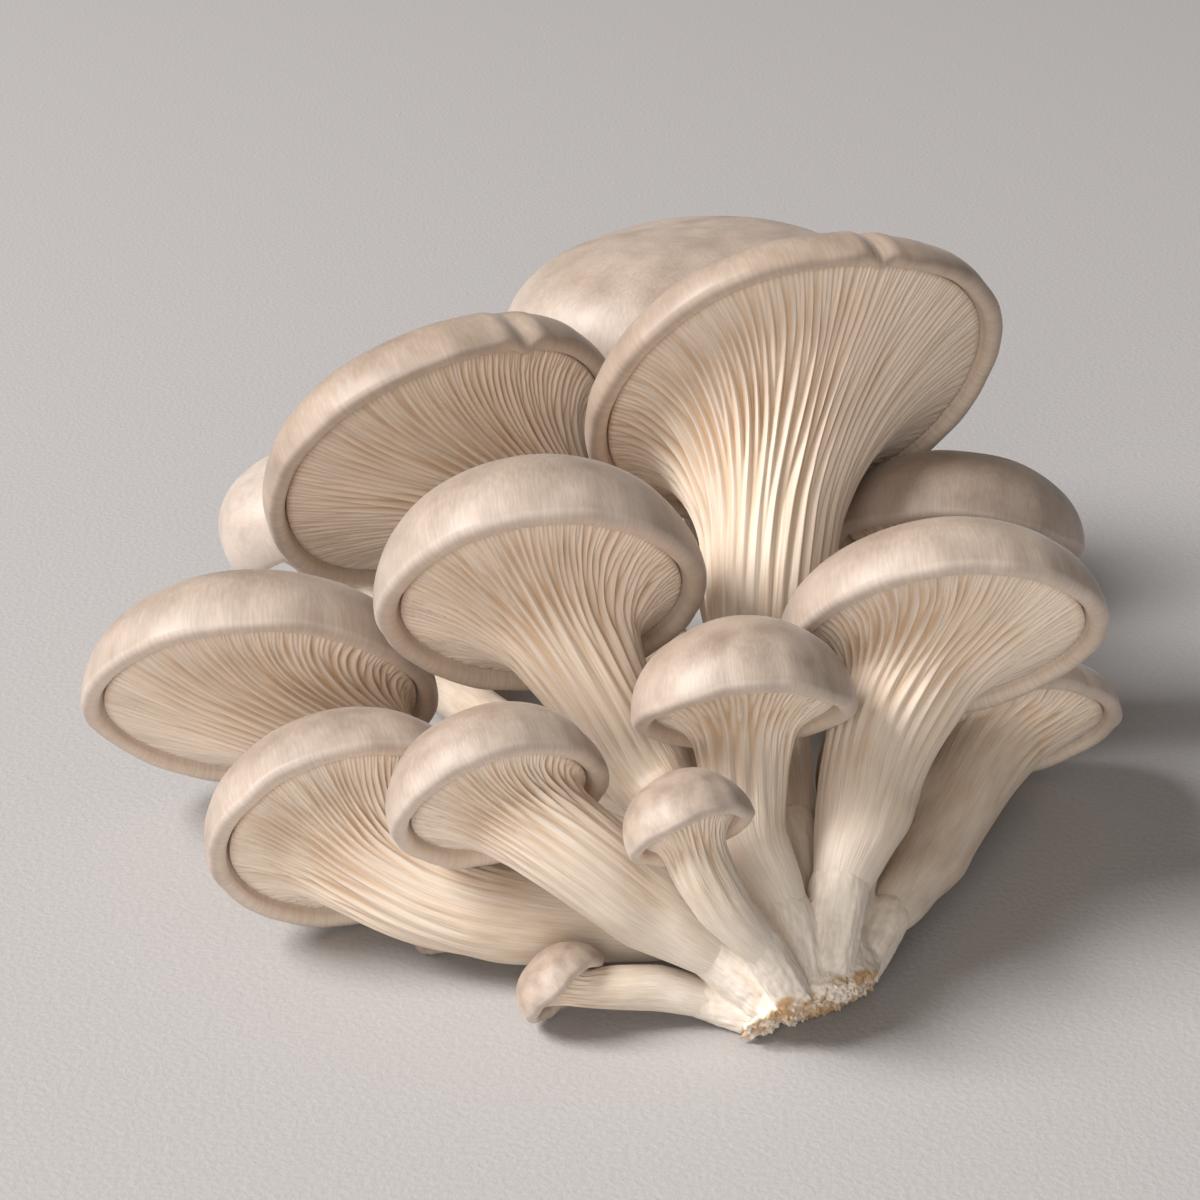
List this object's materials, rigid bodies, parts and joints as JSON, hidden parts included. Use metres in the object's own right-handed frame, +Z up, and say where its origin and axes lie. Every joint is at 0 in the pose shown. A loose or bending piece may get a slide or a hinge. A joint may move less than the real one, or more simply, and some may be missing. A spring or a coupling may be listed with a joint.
{
  "type": "oyster mushroom cluster",
  "caption": "Bunch of oyster mushrooms lying on its side: taupe domed caps with rolled rims over cream gills that run down thick stems into one cut foot.",
  "frame": {"origin": "middle of the flat spot that the foot rests on, at the level of the surface under the bunch", "axes": "+Z up, +Y to the back of the bunch as it lies, away from the open gills, +X to its right as seen from the gilled side"},
  "size_m": [0.1925, 0.2094, 0.1117],
  "materials": {
    "cap_skin": "satin taupe skin with fine fibres that run from the middle to the rim",
    "gilled_flesh": "matt cream flesh, finely ridged",
    "foot_flesh": "matt off-white flesh, torn and flecked with tan at the cut"
  },
  "bodies": {
    "root": {"cap_top_right": "cap_skin", "cap_top_left": "cap_skin", "cap_middle": "cap_skin", "cap_far_left": "cap_skin", "cap_low_left": "cap_skin", "cap_low_middle": "cap_skin", "cap_front_middle": "cap_skin", "cap_front_small": "cap_skin", "cap_right": "cap_skin", "cap_far_right": "cap_skin", "cap_front_low": "cap_skin", "cap_back_top": "cap_skin", "cap_back_left": "cap_skin", "cap_back_right": "cap_skin", "cap_low_tiny": "cap_skin", "cap_rear_low_left": "cap_skin", "cap_rear_low_right": "cap_skin", "stem_top_right": "gilled_flesh", "stem_top_left": "gilled_flesh", "stem_middle": "gilled_flesh", "stem_far_left": "gilled_flesh", "stem_low_left": "gilled_flesh", "stem_low_middle": "gilled_flesh", "stem_front_middle": "gilled_flesh", "stem_front_small": "gilled_flesh", "stem_right": "gilled_flesh", "stem_far_right": "gilled_flesh", "stem_front_low": "gilled_flesh", "stem_back_top": "gilled_flesh", "stem_back_left": "gilled_flesh", "stem_back_right": "gilled_flesh", "stem_low_tiny": "gilled_flesh", "stem_rear_low_left": "gilled_flesh", "stem_rear_low_right": "gilled_flesh", "foot": "foot_flesh"}
  },
  "joints": []
}
